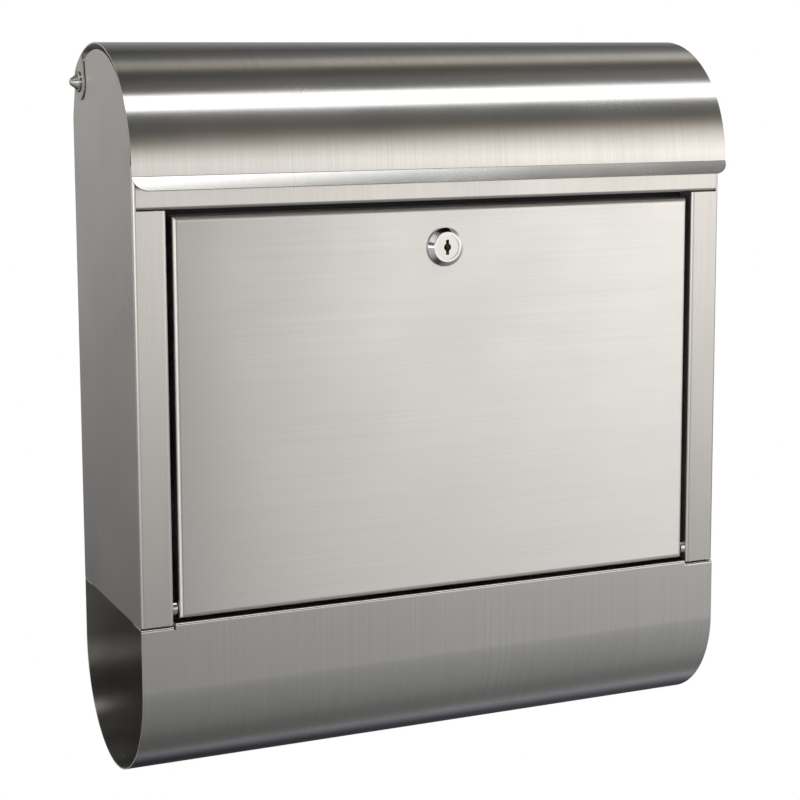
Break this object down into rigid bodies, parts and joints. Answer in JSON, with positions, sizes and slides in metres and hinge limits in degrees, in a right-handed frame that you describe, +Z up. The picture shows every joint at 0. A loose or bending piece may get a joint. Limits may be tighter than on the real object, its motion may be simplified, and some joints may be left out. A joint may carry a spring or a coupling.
{
  "type": "wall mounted mailbox",
  "caption": "Stainless steel wall mailbox with a curved hinged lid over the letter slot, a locking drop-down front door and an open-ended newspaper roll below.",
  "frame": {"origin": "centre of the four wall holes, on the rear face of the back panel", "axes": "+Z up, +X to the right of someone facing the door, +Y into the wall (the door faces -Y)"},
  "size_m": [0.3934, 0.1358, 0.4315],
  "materials": {
    "stainless_panel": "stainless steel sheet, brushed from top to bottom",
    "stainless_lid": "stainless steel sheet, brushed around the curve",
    "stainless_door": "stainless steel sheet, brushed from left to right",
    "stainless_bar": "drawn stainless steel bar and rivets",
    "zinc_screw": "zinc plated steel fasteners",
    "chrome_lock": "chrome plated zinc casting, polished",
    "nickel_plug": "nickel plated brass, satin",
    "brass_wafer": "stamped brass",
    "nylon_bush": "black moulded nylon",
    "rubber_buffer": "black rubber"
  },
  "bodies": {
    "housing": {"back_panel": "stainless_panel", "left_side_panel": "stainless_panel", "right_side_panel": "stainless_panel", "front_header": "stainless_panel", "floor_tray": "stainless_panel", "newspaper_roll": "stainless_lid", "roll_screws": "zinc_screw", "roll_nuts": "zinc_screw", "left_rod_bush": "nylon_bush", "right_rod_bush": "nylon_bush", "lid_buffers": "rubber_buffer", "left_hinge_pin": "stainless_bar", "right_hinge_pin": "stainless_bar", "left_hinge_washer": "stainless_bar", "right_hinge_washer": "stainless_bar", "door_buffers": "rubber_buffer"},
    "lid": {"lid_shell": "stainless_lid", "lid_hinge_rod": "stainless_bar", "left_rod_cap": "stainless_bar", "right_rod_cap": "stainless_bar"},
    "door": {"door_panel": "stainless_door", "lock_housing": "chrome_lock", "lock_nut": "zinc_screw"},
    "lock": {"lock_plug": "nickel_plug", "lock_wafers": "brass_wafer", "lock_cam": "zinc_screw", "cam_screw": "zinc_screw", "cam_washer": "zinc_screw"}
  },
  "joints": [
    {"name": "lid_hinge", "type": "hinge", "parent": "housing", "child": "lid", "pos_m": [0, -0.0205, 0.16753], "axis": [-1, 0, 0], "range_deg": [0, 75]},
    {"name": "door_hinge", "type": "hinge", "parent": "housing", "child": "door", "pos_m": [0, -0.12, -0.1315], "axis": [1, 0, 0], "range_deg": [0, 100]},
    {"name": "lock_turn", "type": "hinge", "parent": "door", "child": "lock", "pos_m": [0, -0.126, 0.07], "axis": [0, 1, 0], "range_deg": [0, 90]}
  ]
}
